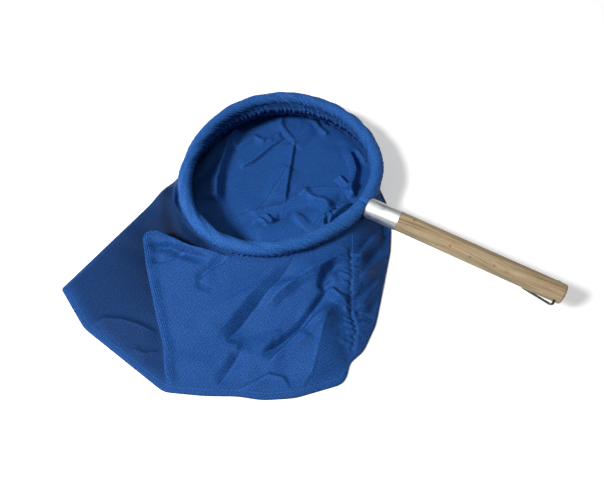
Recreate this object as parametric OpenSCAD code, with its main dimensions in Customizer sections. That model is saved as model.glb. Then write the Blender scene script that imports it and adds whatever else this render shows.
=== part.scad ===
// Hand-held leaf skimmer net: a wooden handle, an aluminium ferrule, a padded wire hoop
// in a cloth casing, a slumped cloth bag and a swinging wire loop for hanging it up.
// +X runs along the handle towards its butt, +Z is up, and z = 0 is the surface that
// the bag rests on. The origin is under the middle of the net's bounding box.

/* [Hoop] */
// Radius of the hoop, to the middle of its wire
hoop_r = 125; // [110:1:135]
// Diameter of the hoop wire
wire_d = 4; // [3:0.5:4.5]
// Height of the hoop wire and of the handle's axis above the floor
hoop_z = 46; // [44:1:60]
// Radius that each end of the hoop wire is bent to, where it turns into the handle
wire_bend_r = 5; // [4:0.5:6]
// Distance from the middle of the ferrule to each leg of the hoop wire
leg_offset = 3.2; // [3:0.1:4]
// Length of the straight legs inside the handle
leg_len = 34; // [25:1:36]

/* [Rim] */
// Outer radius of the cloth casing round the padded hoop
casing_r = 9; // [8.5:0.5:11]
// Thickness of the casing, with its folded seam allowance
casing_wall = 1.4; // [1:0.1:1.8]

/* [Handle] */
// Diameter of the wooden dowel
dowel_d = 25; // [24:0.5:26]
// Length of bare wood between the ferrule and the butt
wood_len = 211; // [150:1:260]
// Radius of the rounded edge at the butt
butt_round = 3; // [1:0.5:5]
// Outer diameter of the ferrule
ferrule_d = 26; // [25.5:0.5:28]
// Length of the ferrule
ferrule_len = 45; // [40:1:60]
// Wall thickness of the ferrule
ferrule_wall = 1; // [0.8:0.1:1.2]
// Radius of the ferrule's rounded nose
nose_round = 4; // [2:0.5:5]
// How far the ferrule's nose reaches past the hoop wire
nose_gap = 3; // [2:0.5:4]

/* [Hanging loop] */
// Diameter of the loop wire
loop_wire_d = 3; // [2.5:0.1:3.2]
// Distance from the loop's pivot hole to the butt
loop_from_butt = 8; // [7:0.5:12]
// Distance from the pivot to the loop's tip
loop_len = 42; // [40:1:44]
// Angle between the folded loop and the handle
loop_fold = 25; // [25:1:35]

/* [Bag] */
// Thickness of the bag wall, standing for a ply of cloth and its creases
bag_wall = 1.6; // [1.2:0.1:2]
// Length of one stitch
stitch_len = 3; // [2:0.5:4]
// Thickness of the sewing thread, as a raised row of stitches
thread_d = 0.8; // [0.5:0.1:1]

/* [Hidden] */
$fn = 64;

// Colours
wood = "burlywood";
alloy = "silver";
steel = "dimgray";
foam = "whitesmoke";
cloth = "royalblue";
thread = "cornflowerblue";

// Outline of the bag on the floor, from the hoop's centre: points down the handle side and
// along the bottom seam, and an arc where the bag hangs straight down under the hoop.
side_edge = [[205, -115], [185, -35], [150, 45]];
back_r = 132;
back_arc = [for (a = [44 : 12 : 188]) back_r * [cos(a), sin(a)]];
far_corner = [-160, -270];
hem_edge = [[-100, -296], [25, -317], [115, -278], [165, -245], [202, -200]];
outline = concat(side_edge, back_arc, [[-132, -55], far_corner], hem_edge);

// The net's own frame, from the hoop's centre
nose_x = hoop_r + nose_gap;
shoulder_x = nose_x + ferrule_len;
butt_x = shoulder_x + wood_len;
hem_y = min([for (p = outline) p[1]]);
hoop_at = [-(butt_x + far_corner[0]) / 2, -(hoop_r + casing_r + hem_y) / 2, hoop_z];

// Hoop wire: where the ring ends and each leg's bend begins
wire_r = wire_d / 2;
bend_y = leg_offset + wire_bend_r;
ring_end = asin(bend_y / (hoop_r + wire_bend_r));
leg_x = (hoop_r + wire_bend_r) * cos(ring_end);

// Clearances
slip = 0.05;        // parts pressed or sewn together
loop_slip = 0.3;    // all round the loop's ends in their hole
loop_snug = 0.7;    // between the loop's far side and the wood
cloth_gap = 0.3;    // cloth round the ferrule
joint_gap = 0.05;   // gap inside each joint of a bent wire, which a bead fills
bead = 1.03;        // radius of that bead, as a share of the wire's

// Padding and casing
padding_r = casing_r - casing_wall - slip;
rim_open = ring_end + 0.3;
casing_open = 1.2;

// Handle
dowel_r = dowel_d / 2;
ferrule_r = ferrule_d / 2;
ferrule_bore_r = ferrule_r - ferrule_wall;
spigot_r = ferrule_bore_r - slip;
spigot_x = nose_x + 2.4;
mouth_r = leg_offset + wire_d + 1;
leg_hole_end = leg_x + leg_len + 1;

// Hanging loop, flat in its own plane: x along the loop, y along the pivot
loop_wire_r = loop_wire_d / 2;
pivot_x = butt_x - loop_from_butt;
loop_near = -20;
loop_far = dowel_r + loop_wire_r + loop_snug;
loop_tip_y = -2.4;
loop_ends = 3;
loop_bend_r = 2.6;
loop_path = [[0, -loop_ends], [0, loop_near], [loop_len, loop_tip_y],
             [0.58 * loop_len, loop_far], [0, loop_far], [0, loop_ends]];

// Bag wall, from the casing seam out to the floor, as [share of the way out, share of the height]
bag_top_r = hoop_r - 4;
bag_top_z = hoop_z - casing_r + 0.2;
bag_foot_z = 3;
bag_profile = [[0, 1], [0.06, 0.9], [0.35, 0.6], [0.7, 0.27], [1, 0]];
foot_tuck = 3;      // how far the bag's bottom is rounded in at its edge
edge_steps = 4;

// Seams: rows of stitches that stand on the bag wall
seam_angle = -30;
hem_share = 0.94;
stitch_pitch = 1.6 * stitch_len;
casing_pitch = 4;   // degrees between stitches round the casing
seam_stand = 1;     // height of a stitch's middle over the wall

// A point part of the way from one to another
function between(p, q, t) = p + t * (q - p);

// Points along the outline, several to an edge
outline_points = [for (i = [0 : len(outline) - 1], j = [0 : edge_steps - 1])
    between(outline[i], outline[(i + 1) % len(outline)], j / edge_steps)];

// Radius and height of the bag wall a share of the way out, where the outline is reach away
function wall_at(reach, share) = [bag_top_r + share * (reach - bag_top_r),
    bag_foot_z + lookup(share, bag_profile) * (bag_top_z - bag_foot_z)];

// The bag wall's whole profile in one direction, as [radius, height]
function wall_profile(reach) =
    concat([for (s = bag_profile) wall_at(reach, s[0])], [[reach - foot_tuck, 0]]);

// Direction across the wall at the profile's point i, towards the inside
function across(profile, i) =
    let (a = profile[max(i - 1, 0)], b = profile[min(i + 1, len(profile) - 1)],
         d = b - a)
    [d[1], -d[0]] / norm(d);

// The inside of the same wall, which stops above the bag's bottom
function inner_profile(profile) = [for (i = [0 : len(profile) - 2])
    let (q = profile[i] + bag_wall * across(profile, i))
    [q[0], max(q[1], bag_wall)]];

// A profile point turned to its place round the hoop's centre
function turned(q, a) = [q[0] * cos(a), q[0] * sin(a), q[1]];

// Reach of the outline in one direction, by crossing a ray with the edge that spans it
function reach_at(a) = max([for (i = [0 : len(outline) - 1])
    let (p = outline[i], q = outline[(i + 1) % len(outline)],
         u = [cos(a), sin(a)], e = q - p, den = u[0] * e[1] - u[1] * e[0],
         t = den == 0 ? -1 : (p[0] * e[1] - p[1] * e[0]) / den,
         s = den == 0 ? -1 : (p[0] * u[1] - p[1] * u[0]) / den)
    (t > 0 && s >= 0 && s <= 1) ? t : 0]);

// A solid turned about the X axis, from its outline of [radius, x]
module turned_x() {
    rotate([0, 90, 0]) rotate_extrude($fn = 96) children();
}

// A ring or part of a ring of round section, open by the given angle on each side of +X
module open_ring(r, section_r, open) {
    rotate([0, 0, open])
        rotate_extrude(angle = 360 - 2 * open, $fn = 180) translate([r, 0]) circle(section_r);
}

// Round wire through the points of a flat path, with every corner bent to one radius
module flat_wire(path, r, bend) {
    count = len(path);
    dirs = [for (i = [0 : count - 2]) (path[i + 1] - path[i]) / norm(path[i + 1] - path[i])];
    turn = [for (i = [1 : count - 2])
        let (a = dirs[i - 1], b = dirs[i])
        atan2(a[0] * b[1] - a[1] * b[0], a[0] * b[0] + a[1] * b[1])];
    cut = [for (t = turn) bend * tan(abs(t) / 2)];
    for (i = [0 : count - 2]) {
        first = path[i] + dirs[i] * (i == 0 ? 0 : cut[i - 1] + joint_gap);
        last = path[i + 1] - dirs[i] * (i == count - 2 ? 0 : cut[i] + joint_gap);
        translate([first[0], first[1], 0])
            rotate([0, 0, atan2(dirs[i][1], dirs[i][0])])
                rotate([0, 90, 0]) cylinder(r = r, h = norm(last - first), $fn = 32);
    }
    for (i = [1 : count - 2]) {
        side = sign(turn[i - 1]);
        start = path[i] - dirs[i - 1] * cut[i - 1];
        centre = start + side * bend * [-dirs[i - 1][1], dirs[i - 1][0]];
        from = atan2(start[1] - centre[1], start[0] - centre[0]);
        translate([centre[0], centre[1], 0])
            rotate([0, 0, side > 0 ? from : from + turn[i - 1]])
                rotate_extrude(angle = abs(turn[i - 1]), $fn = 64)
                    translate([bend, 0]) circle(r, $fn = 32);
        for (end = [start, path[i] + dirs[i] * cut[i - 1]])
            translate([end[0], end[1], 0]) sphere(bead * r, $fn = 32);
    }
}

// The space that the ferrule takes, which the padding and casing leave free
module ferrule_room() {
    translate([nose_x - cloth_gap, 0, 0])
        rotate([0, 90, 0]) cylinder(r = ferrule_r + cloth_gap, h = ferrule_len);
}

// One stitch, a short round bar that lies along X
module stitch() {
    rotate([0, 90, 0]) cylinder(d = thread_d, h = stitch_len, center = true, $fn = 16);
}

// Turned wooden handle: a spigot for the ferrule, two holes for the hoop wire's legs and a
// cross hole for the hanging loop
module handle_dowel() {
    color(wood) translate(hoop_at) difference() {
        turned_x() {
            translate([0, spigot_x]) square([spigot_r, shoulder_x - spigot_x + 1]);
            translate([0, shoulder_x]) square([dowel_r, wood_len - butt_round]);
            translate([0, shoulder_x]) square([dowel_r - butt_round, wood_len]);
            intersection() {
                translate([dowel_r - butt_round, butt_x - butt_round]) circle(butt_round);
                translate([0, shoulder_x]) square([dowel_r, wood_len]);
            }
        }
        for (side = [-1, 1]) translate([spigot_x - 1, side * leg_offset, 0])
            rotate([0, 90, 0]) cylinder(r = wire_r + slip, h = leg_hole_end - spigot_x + 1);
        translate([pivot_x, 0, 0])
            rotate([90, 0, 0]) cylinder(r = loop_wire_r + loop_slip, h = 2 * dowel_d, center = true);
    }
}

// Drawn aluminium cap with a rounded nose and a mouth for the hoop wire
module ferrule() {
    color(alloy) translate(hoop_at) turned_x() difference() {
        union() {
            translate([0, nose_x + nose_round]) square([ferrule_r, ferrule_len - nose_round]);
            translate([0, nose_x]) square([ferrule_r - nose_round, ferrule_len]);
            translate([ferrule_r - nose_round, nose_x + nose_round]) circle(nose_round);
        }
        translate([-1, spigot_x - 1]) square([1 + ferrule_bore_r, ferrule_len]);
        translate([-1, nose_x - 1]) square([1 + mouth_r, ferrule_len]);
        translate([-nose_round, nose_x]) square([nose_round, ferrule_len]);
    }
}

// The bend at one end of the ring and the leg that follows it, with a bead at each joint
module wire_leg() {
    gap_angle = joint_gap / wire_bend_r * 180 / PI;
    translate([leg_x, bend_y, 0])
        rotate([0, 0, 180 + ring_end + gap_angle])
            rotate_extrude(angle = 90 - ring_end - gap_angle, $fn = 64)
                translate([wire_bend_r, 0]) circle(wire_r, $fn = 32);
    translate([leg_x + joint_gap, leg_offset, 0])
        rotate([0, 90, 0]) cylinder(r = wire_r, h = leg_len, $fn = 32);
    translate([leg_x, leg_offset, 0]) sphere(bead * wire_r, $fn = 32);
    rotate([0, 0, ring_end]) translate([hoop_r, 0, 0]) sphere(bead * wire_r, $fn = 32);
}

// One length of steel wire: the ring, a bend at each end and two legs into the handle
module hoop_wire() {
    color(steel) translate(hoop_at) {
        open_ring(hoop_r, wire_r, ring_end);
        wire_leg();
        mirror([0, 1, 0]) wire_leg();
    }
}

// Foam tube over the hoop wire
module rim_padding() {
    color(foam) translate(hoop_at) difference() {
        open_ring(hoop_r, padding_r, rim_open);
        open_ring(hoop_r, wire_r + slip, ring_end / 2);
        ferrule_room();
    }
}

// Cloth sleeve sewn round the padded hoop
module rim_casing() {
    color(cloth) translate(hoop_at) difference() {
        open_ring(hoop_r, casing_r, casing_open);
        open_ring(hoop_r, casing_r - casing_wall, casing_open / 2);
        ferrule_room();
    }
}

// Row of stitches that closes the casing and joins the bag to it
module casing_stitches() {
    seam_r = hoop_r - 6.1;
    seam_z = -casing_r + 1.3;
    color(thread) translate(hoop_at)
        for (a = [casing_pitch : casing_pitch : 360 - casing_pitch])
            rotate([0, 0, a]) translate([seam_r, 0, seam_z]) rotate([0, 0, 90]) stitch();
}

// Cloth bag, open under the hoop, slumped on the floor
module bag_panel() {
    rings = [for (p = outline_points)
        let (a = atan2(p[1], p[0]), outer = wall_profile(norm(p)), inner = inner_profile(outer))
        [for (q = concat([for (i = [len(inner) - 1 : -1 : 0]) inner[i]], outer)) turned(q, a)]];
    n = len(rings);
    m = len(rings[0]);
    points = concat([for (r = rings) each r], [[0, 0, bag_wall], [0, 0, 0]]);
    sides = [for (i = [0 : n - 1], j = [0 : m - 2])
        let (k = (i + 1) % n) each [
            [i * m + j, k * m + j + 1, i * m + j + 1],
            [i * m + j, k * m + j, k * m + j + 1]]];
    caps = [for (i = [0 : n - 1])
        let (k = (i + 1) % n) each [
            [n * m, k * m, i * m],
            [n * m + 1, i * m + m - 1, k * m + m - 1]]];
    color(cloth) translate([hoop_at[0], hoop_at[1], 0])
        polyhedron(points = points, faces = concat(sides, caps), convexity = 6);
}

// Stitches down the bag's side seam, on the handle's side
module side_seam_stitches() {
    reach = reach_at(seam_angle);
    count = floor((reach - bag_top_r) / stitch_pitch);
    color(thread) translate([hoop_at[0], hoop_at[1], seam_stand]) rotate([0, 0, seam_angle])
        for (k = [2 : count - 1]) {
            at = wall_at(reach, k / count);
            slope = wall_at(reach, (k + 0.5) / count) - at;
            translate([at[0], 0, at[1]]) rotate([0, atan2(-slope[1], slope[0]), 0]) stitch();
        }
}

// Stitches along the bag's bottom seam, just inside its edge
module bottom_seam_stitches() {
    hem = concat([far_corner], hem_edge);
    color(thread) translate([hoop_at[0], hoop_at[1], seam_stand])
        for (i = [0 : len(hem) - 2]) {
            edge = hem[i + 1] - hem[i];
            count = floor(norm(edge) / stitch_pitch);
            for (k = [1 : count]) {
                p = between(hem[i], hem[i + 1], (k - 0.5) / count);
                at = wall_at(norm(p), hem_share);
                a = atan2(p[1], p[0]);
                translate([at[0] * cos(a), at[0] * sin(a), at[1]])
                    rotate([0, 0, atan2(edge[1], edge[0])]) stitch();
            }
        }
}

// Bent wire loop whose two ends turn in the handle's cross hole, folded under the handle
module hanging_loop() {
    color(steel) translate(hoop_at + [pivot_x, 0, 0])
        rotate([0, -loop_fold, 0]) mirror([1, 0, 0])
            flat_wire(loop_path, loop_wire_r, loop_bend_r);
}

handle_dowel();
ferrule();
hoop_wire();
rim_padding();
rim_casing();
casing_stitches();
bag_panel();
side_seam_stitches();
bottom_seam_stitches();
hanging_loop();
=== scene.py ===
"""Leaf skimmer net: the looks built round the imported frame.

Lengths are in millimetres from the hoop's centre until at() turns them into the frame's metres.
Angles go round the hoop from +X, the handle's side, towards +Y.
"""

import math

import bpy
import numpy as np
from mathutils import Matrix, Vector
from mathutils.bvhtree import BVHTree
from mathutils.geometry import delaunay_2d_cdt


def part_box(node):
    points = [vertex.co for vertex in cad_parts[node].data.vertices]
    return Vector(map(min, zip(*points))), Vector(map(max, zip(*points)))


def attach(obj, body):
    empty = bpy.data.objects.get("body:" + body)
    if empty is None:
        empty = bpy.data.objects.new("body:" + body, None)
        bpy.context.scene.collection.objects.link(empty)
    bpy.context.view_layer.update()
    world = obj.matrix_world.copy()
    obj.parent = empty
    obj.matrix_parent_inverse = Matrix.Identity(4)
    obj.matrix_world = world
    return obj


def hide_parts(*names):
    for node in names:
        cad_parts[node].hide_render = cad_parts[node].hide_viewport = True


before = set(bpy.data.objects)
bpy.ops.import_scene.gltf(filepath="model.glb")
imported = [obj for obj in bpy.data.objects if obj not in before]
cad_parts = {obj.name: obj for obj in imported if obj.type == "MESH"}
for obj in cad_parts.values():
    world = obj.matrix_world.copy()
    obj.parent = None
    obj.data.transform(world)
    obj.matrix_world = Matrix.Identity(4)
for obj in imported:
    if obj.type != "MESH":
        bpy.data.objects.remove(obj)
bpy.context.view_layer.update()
MM = 0.001

# ---------------------------------------------------------------- sizes from the frame
rim_low, rim_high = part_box("rim_casing")
ferrule_low, ferrule_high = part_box("ferrule")
OUTER = (rim_high.y - rim_low.y) / 2 / MM
TUBE = (rim_high.z - rim_low.z) / 2 / MM
HOOP = Vector((rim_low.x + OUTER * MM, (rim_low.y + rim_high.y) / 2, 0))
HOOP_Z = (rim_low.z + rim_high.z) / 2 / MM
RING = OUTER - TUBE
NOSE_X = (ferrule_low.x - HOOP.x) / MM
FERRULE_R = (ferrule_high.y - ferrule_low.y) / 2 / MM


def at(x, y, z):
    """A point given from the hoop's centre in millimetres, in the frame's metres."""
    return HOOP + Vector((x, y, z)) * MM


# ---------------------------------------------------------------- camera
VIEW_AZIMUTH = math.radians(29.26)
VIEW_ELEVATION = math.radians(59.41)
VIEW_DISTANCE = 776.3
LOOK_AT = at(74.1, -72.6, 0)


def make_camera():
    """The photograph's viewpoint: above the bag's front corner, looking down past the handle."""
    data = bpy.data.cameras.new("camera")
    data.lens = 35.33
    data.sensor_width = 36
    data.clip_start = 0.01
    camera = bpy.data.objects.new("camera", data)
    bpy.context.scene.collection.objects.link(camera)
    back = Vector((math.sin(VIEW_AZIMUTH) * math.cos(VIEW_ELEVATION),
                   -math.cos(VIEW_AZIMUTH) * math.cos(VIEW_ELEVATION),
                   math.sin(VIEW_ELEVATION)))
    camera.location = LOOK_AT + back * VIEW_DISTANCE * MM
    camera.rotation_euler = back.to_track_quat("Z", "Y").to_euler()
    bpy.context.scene.camera = camera


make_camera()


# ---------------------------------------------------------------- node helpers
def new_material(name):
    """A material with only a Principled shader and an output, and its node tree and shader."""
    material = bpy.data.materials.new(name)
    material.use_nodes = True
    tree = material.node_tree
    shader = next(n for n in tree.nodes if n.type == "BSDF_PRINCIPLED")
    return material, tree, shader


def plug(tree, node, inputs):
    """Sets a node's inputs to values, or links them from sockets."""
    for socket, value in inputs.items():
        if isinstance(value, bpy.types.NodeSocket):
            tree.links.new(value, node.inputs[socket])
        else:
            node.inputs[socket].default_value = value


def add(tree, kind, inputs=None, **settings):
    """A shader node with its settings, and its inputs set to values or linked from sockets."""
    made = tree.nodes.new("ShaderNode" + kind)
    for key, value in settings.items():
        setattr(made, key, value)
    plug(tree, made, inputs or {})
    return made


def object_place(tree):
    """The place in the frame that a point of the piece is shaded at."""
    return add(tree, "TexCoord").outputs["Object"]


def maths(tree, operation, *values, clamp=False):
    """The result of a Math node."""
    return add(tree, "Math", dict(enumerate(values)), operation=operation, use_clamp=clamp).outputs[0]


def scaled(tree, vector, scale):
    """A vector multiplied by three numbers."""
    return add(tree, "VectorMath", {0: vector, 1: scale}, operation="MULTIPLY").outputs[0]


def noise(tree, vector, scale, detail=2.0, roughness=0.5):
    """The value of a noise texture."""
    return add(tree, "TexNoise", {"Vector": vector, "Scale": scale, "Detail": detail,
                                  "Roughness": roughness}).outputs["Fac"]


def ramp(tree, value, *stops):
    """A colour ramp through (position, colour) stops."""
    made = add(tree, "ValToRGB", {"Fac": value})
    elements = made.color_ramp.elements
    while len(elements) < len(stops):
        elements.new(0.5)
    for element, (position, colour) in zip(elements, stops):
        element.position = position
        element.color = (*colour, 1) if len(colour) == 3 else (colour[0],) * 3 + (1,)
    return made.outputs["Color"]


def mix(tree, factor, first, second, blend="MIX"):
    """Two colours mixed by a factor."""
    made = add(tree, "Mix", data_type="RGBA", blend_type=blend)
    for socket, value in zip((made.inputs["Factor"], made.inputs[6], made.inputs[7]),
                             (factor, first, second)):
        if isinstance(value, bpy.types.NodeSocket):
            tree.links.new(value, socket)
        else:
            socket.default_value = value if isinstance(value, float) else (*value, 1)
    return made.outputs[2]


def bump(tree, height, distance, strength=1.0, normal=None):
    """A bumped normal, over another one if given."""
    inputs = {"Height": height, "Distance": distance, "Strength": strength}
    if normal is not None:
        inputs["Normal"] = normal
    return add(tree, "Bump", inputs).outputs["Normal"]


# ---------------------------------------------------------------- materials
CLOTH_BLUE = (0.004, 0.040, 0.180)
CLOTH_DEEP = (0.002, 0.018, 0.105)
CLOTH_PALE = (0.050, 0.200, 0.54)
THREAD_PITCH = 1.0 * MM


def cloth_material(name, pale):
    """Woven blue polyester: crossed threads, their raised floats painted pale as highlight and their sunk
    gaps painted dark as shade, the whole multiplied by the mesh's painted shading.
    """
    material, tree, shader = new_material(name)
    cloth = add(tree, "Attribute", attribute_name="cloth_uv").outputs["Vector"]
    axes = add(tree, "SeparateXYZ", {"Vector": cloth})
    turn = math.pi / THREAD_PITCH
    warp = maths(tree, "SINE", maths(tree, "MULTIPLY", axes.outputs["X"], turn))
    weft = maths(tree, "SINE", maths(tree, "MULTIPLY", axes.outputs["Y"], turn))
    over = maths(tree, "MULTIPLY", warp, weft)
    weave = maths(tree, "MULTIPLY_ADD", over, 0.5, 0.5)
    slub = noise(tree, scaled(tree, cloth, (60, 900, 0)), 1.0, 3)
    patch = noise(tree, cloth, 18.0, 3, 0.6)
    body = mix(tree, patch, CLOTH_DEEP, CLOTH_BLUE)
    body = mix(tree, 0.72, body, CLOTH_BLUE)
    speck = ramp(tree, noise(tree, cloth, 620.0, 2, 0.6), (0.40, (0.25,)), (0.64, (1.0,)))
    # Painted highlight: some of the raised floats, at random, are painted pale.
    floats = maths(tree, "POWER", weave, 3.0)
    float_highlight = maths(tree, "MULTIPLY", floats, maths(tree, "MULTIPLY", speck, pale))
    body = mix(tree, float_highlight, body, CLOTH_PALE)
    # Painted shade: the sunk gaps between the threads are painted dark.
    sunk = maths(tree, "POWER", maths(tree, "SUBTRACT", 1.0, weave), 3.0)
    gaps = maths(tree, "MULTIPLY", sunk, 0.55)
    body = mix(tree, gaps, body, CLOTH_DEEP)
    grain = ramp(tree, noise(tree, cloth, 1050.0, 2, 0.6), (0.36, (0.70,)), (0.64, (1.34,)))
    body = mix(tree, 1.0, body, grain, "MULTIPLY")
    # Painted light and shade: a per-point multiplier from the mesh darkens the cloth as painted shade in
    # folds and hollows, and lightens it as painted highlight beside creases.
    painted_shading = add(tree, "Attribute", attribute_name="painted_shading").outputs["Fac"]
    painted_shading_grey = add(tree, "CombineColor", {0: painted_shading, 1: painted_shading, 2: painted_shading}).outputs[0]
    body = mix(tree, 1.0, body, painted_shading_grey, "MULTIPLY")
    fine = bump(tree, weave, 0.25 * MM, 1.0)
    plug(tree, shader, {"Base Color": body, "Roughness": maths(tree, "MULTIPLY_ADD", slub, 0.18, 0.52),
                        "Sheen Weight": 0.03, "Sheen Roughness": 0.45,
                        "Sheen Tint": (0.45, 0.62, 1.0, 1), "Specular IOR Level": 0.10,
                        "Normal": bump(tree, slub, 0.12 * MM, 0.5, fine)})
    return material


def thread_material():
    """Polyester sewing thread, twisted."""
    material, tree, shader = new_material("thread")
    place = object_place(tree)
    twist = add(tree, "TexWave", {"Vector": place, "Scale": 900.0, "Distortion": 1.0},
                bands_direction="DIAGONAL").outputs["Fac"]
    # Painted highlight and shade: the twist's raised strands are painted lighter and its grooves darker.
    body = mix(tree, twist, (0.015, 0.085, 0.30), (0.055, 0.200, 0.52))
    plug(tree, shader, {"Base Color": body, "Roughness": 0.55, "Specular IOR Level": 0.15,
                        "Normal": bump(tree, twist, 0.1 * MM)})
    return material


KNOT = at(314.8, -9.6, HOOP_Z + 8)
KNOT_SIZE = (11.0, 3.0, 5.0)
BUTT_STAIN = at(385, -6, HOOP_Z + 5)
SPECKS = (at(191, 2.1, HOOP_Z + 12.3), at(269.7, -10.2, HOOP_Z + 7.2),
          at(298.9, -8.9, HOOP_Z + 8.7), at(243, -8.7, HOOP_Z + 8.9))


def wood_material():
    """Bare, handled wood: long grain, flecks, a knot, dark spots, and flanks that turn darker and greener
    towards their edges.
    """
    material, tree, shader = new_material("wood")
    place = object_place(tree)
    offset = add(tree, "VectorMath", {0: place, 1: KNOT}, operation="SUBTRACT").outputs[0]
    near = scaled(tree, offset, tuple(1 / (s * MM) for s in KNOT_SIZE))
    knot_gap = add(tree, "VectorMath", {0: near}, operation="LENGTH").outputs["Value"]
    knot_pull = maths(tree, "EXPONENT", maths(tree, "MULTIPLY", knot_gap, -0.9))
    sway = noise(tree, scaled(tree, place, (9, 30, 30)), 1.0, 2)
    bent = maths(tree, "MULTIPLY_ADD", knot_pull, 0.9, maths(tree, "MULTIPLY", sway, 1.6))
    axes = add(tree, "SeparateXYZ", {"Vector": place})
    depth = maths(tree, "MULTIPLY_ADD", axes.outputs["Z"], 90.0, maths(tree, "MULTIPLY", bent, 1.5))
    across = maths(tree, "MULTIPLY_ADD", axes.outputs["Y"], 190.0, depth)
    grain_at = add(tree, "CombineXYZ", {"X": maths(tree, "MULTIPLY", axes.outputs["X"], 5.0),
                                        "Y": across, "Z": maths(tree, "MULTIPLY", axes.outputs["Z"], 60.0)})
    grain = noise(tree, grain_at.outputs[0], 1.6, 5, 0.62)
    fibre = noise(tree, scaled(tree, place, (28, 1500, 1500)), 1.0, 3, 0.6)
    body = ramp(tree, grain, (0.30, (0.17, 0.115, 0.060)), (0.43, (0.32, 0.235, 0.135)),
                (0.56, (0.42, 0.325, 0.20)), (0.75, (0.50, 0.40, 0.265)))
    worn = ramp(tree, fibre, (0.35, (0.0,)), (0.70, (0.75,)))
    body = mix(tree, worn, body, (0.52, 0.45, 0.36), "MULTIPLY")
    blush = noise(tree, scaled(tree, place, (26, 60, 60)), 1.0, 2)
    body = mix(tree, ramp(tree, blush, (0.50, (0.0,)), (0.72, (0.30,))), body, (0.36, 0.20, 0.10))
    fleck = noise(tree, scaled(tree, place, (170, 1100, 1100)), 1.0, 1)
    body = mix(tree, ramp(tree, fleck, (0.64, (0.0,)), (0.72, (0.55,))), body, (0.14, 0.09, 0.05))
    smudge = maths(tree, "MULTIPLY_ADD", fibre, 0.9, maths(tree, "MULTIPLY_ADD", grain, 0.8, knot_gap))
    smudge = maths(tree, "MULTIPLY", smudge, 0.5)
    body = mix(tree, ramp(tree, smudge, (0.45, (0.8,)), (0.62, (0.4,)), (0.90, (0.0,))), body,
               (0.20, 0.085, 0.045))
    for spot, size, strength in [(BUTT_STAIN, 9, 0.7)] + [(speck, 3.0, 0.8) for speck in SPECKS]:
        offset = add(tree, "VectorMath", {0: place, 1: spot}, operation="SUBTRACT").outputs[0]
        gap = add(tree, "VectorMath", {0: offset}, operation="LENGTH").outputs["Value"]
        share = maths(tree, "MULTIPLY_ADD", fibre, 0.5, maths(tree, "MULTIPLY", gap, 1 / (size * MM)))
        body = mix(tree, ramp(tree, share, (0.45, (strength,)), (1.1, (0.0,))), body, (0.16, 0.075, 0.045))
    # Darker and greener towards both flanks of the handle, away from its middle line, with a noisy edge.
    middle = at(0, 0, HOOP_Z)
    side = maths(tree, "ABSOLUTE", maths(tree, "SUBTRACT", axes.outputs["Y"], middle.y))
    flank_noise = noise(tree, scaled(tree, place, (34, 160, 160)), 1.0, 4, 0.65)
    edge = maths(tree, "MULTIPLY_ADD", side, 78.0, maths(tree, "MULTIPLY_ADD", flank_noise, 1.1, -0.98))
    flank_darkening = ramp(tree, edge, (0.30, (0.0,)), (0.75, (0.75,)))
    body = mix(tree, flank_darkening, body, (0.150, 0.145, 0.085))
    relief = maths(tree, "MULTIPLY_ADD", fibre, 0.4, grain)
    plug(tree, shader, {"Base Color": body, "Roughness": maths(tree, "MULTIPLY_ADD", grain, -0.25, 0.68),
                        "Specular IOR Level": 0.35, "Normal": bump(tree, relief, 0.35 * MM, 0.55)})
    return material


def alloy_material():
    """Satin aluminium with turning lines, rubbed streaks and dull patches."""
    material, tree, shader = new_material("alloy")
    place = object_place(tree)
    turning = noise(tree, scaled(tree, place, (2600, 30, 30)), 1.0, 2)
    rubbed = noise(tree, scaled(tree, place, (40, 700, 700)), 1.0, 4, 0.7)
    dull = noise(tree, place, 70.0, 4, 0.6)
    body = mix(tree, dull, (0.68, 0.71, 0.71), (0.80, 0.83, 0.83))
    body = mix(tree, ramp(tree, rubbed, (0.70, (0.0,)), (0.78, (0.25,))), body, (0.48, 0.50, 0.50))
    rough = maths(tree, "MULTIPLY_ADD", dull, 0.16, maths(tree, "MULTIPLY_ADD", rubbed, 0.08, 0.36))
    fine = bump(tree, turning, 0.02 * MM, 0.6)
    plug(tree, shader, {"Base Color": body, "Metallic": 1.0, "Anisotropic": 0.35, "Roughness": rough,
                        "Normal": bump(tree, rubbed, 0.03 * MM, 0.5, fine)})
    return material


def steel_material(name, dark, light, roughness):
    """Drawn wire: dark, with lengthwise drawing marks and rubbed spots."""
    material, tree, shader = new_material(name)
    place = object_place(tree)
    mottle = noise(tree, place, 420.0, 4, 0.65)
    spots = noise(tree, place, 1500.0, 2)
    plug(tree, shader, {"Base Color": ramp(tree, mottle, (0.35, dark), (0.72, light)), "Metallic": 0.85,
                        "Roughness": maths(tree, "MULTIPLY_ADD", mottle, 0.25, roughness),
                        "Normal": bump(tree, spots, 0.05 * MM, 0.6)})
    return material


def foam_material():
    """Closed-cell foam, pale and pitted."""
    material, tree, shader = new_material("foam")
    place = object_place(tree)
    cells = add(tree, "TexVoronoi", {"Vector": place, "Scale": 900.0}).outputs["Distance"]
    # Painted shade: the pits, where the cells sink, are painted darker.
    body = ramp(tree, cells, (0.0, (0.55, 0.55, 0.52)), (0.6, (0.80, 0.80, 0.77)))
    plug(tree, shader, {"Base Color": body, "Roughness": 0.9, "Normal": bump(tree, cells, 0.3 * MM)})
    return material


def floor_material():
    """Plain pale floor, with a little light of its own so that it renders white."""
    material, tree, shader = new_material("floor")
    plug(tree, shader, {"Base Color": (0.92, 0.92, 0.92, 1), "Emission Color": (1, 1, 1, 1),
                        "Emission Strength": 0.30, "Roughness": 0.9, "Specular IOR Level": 0.1})
    return material


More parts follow.
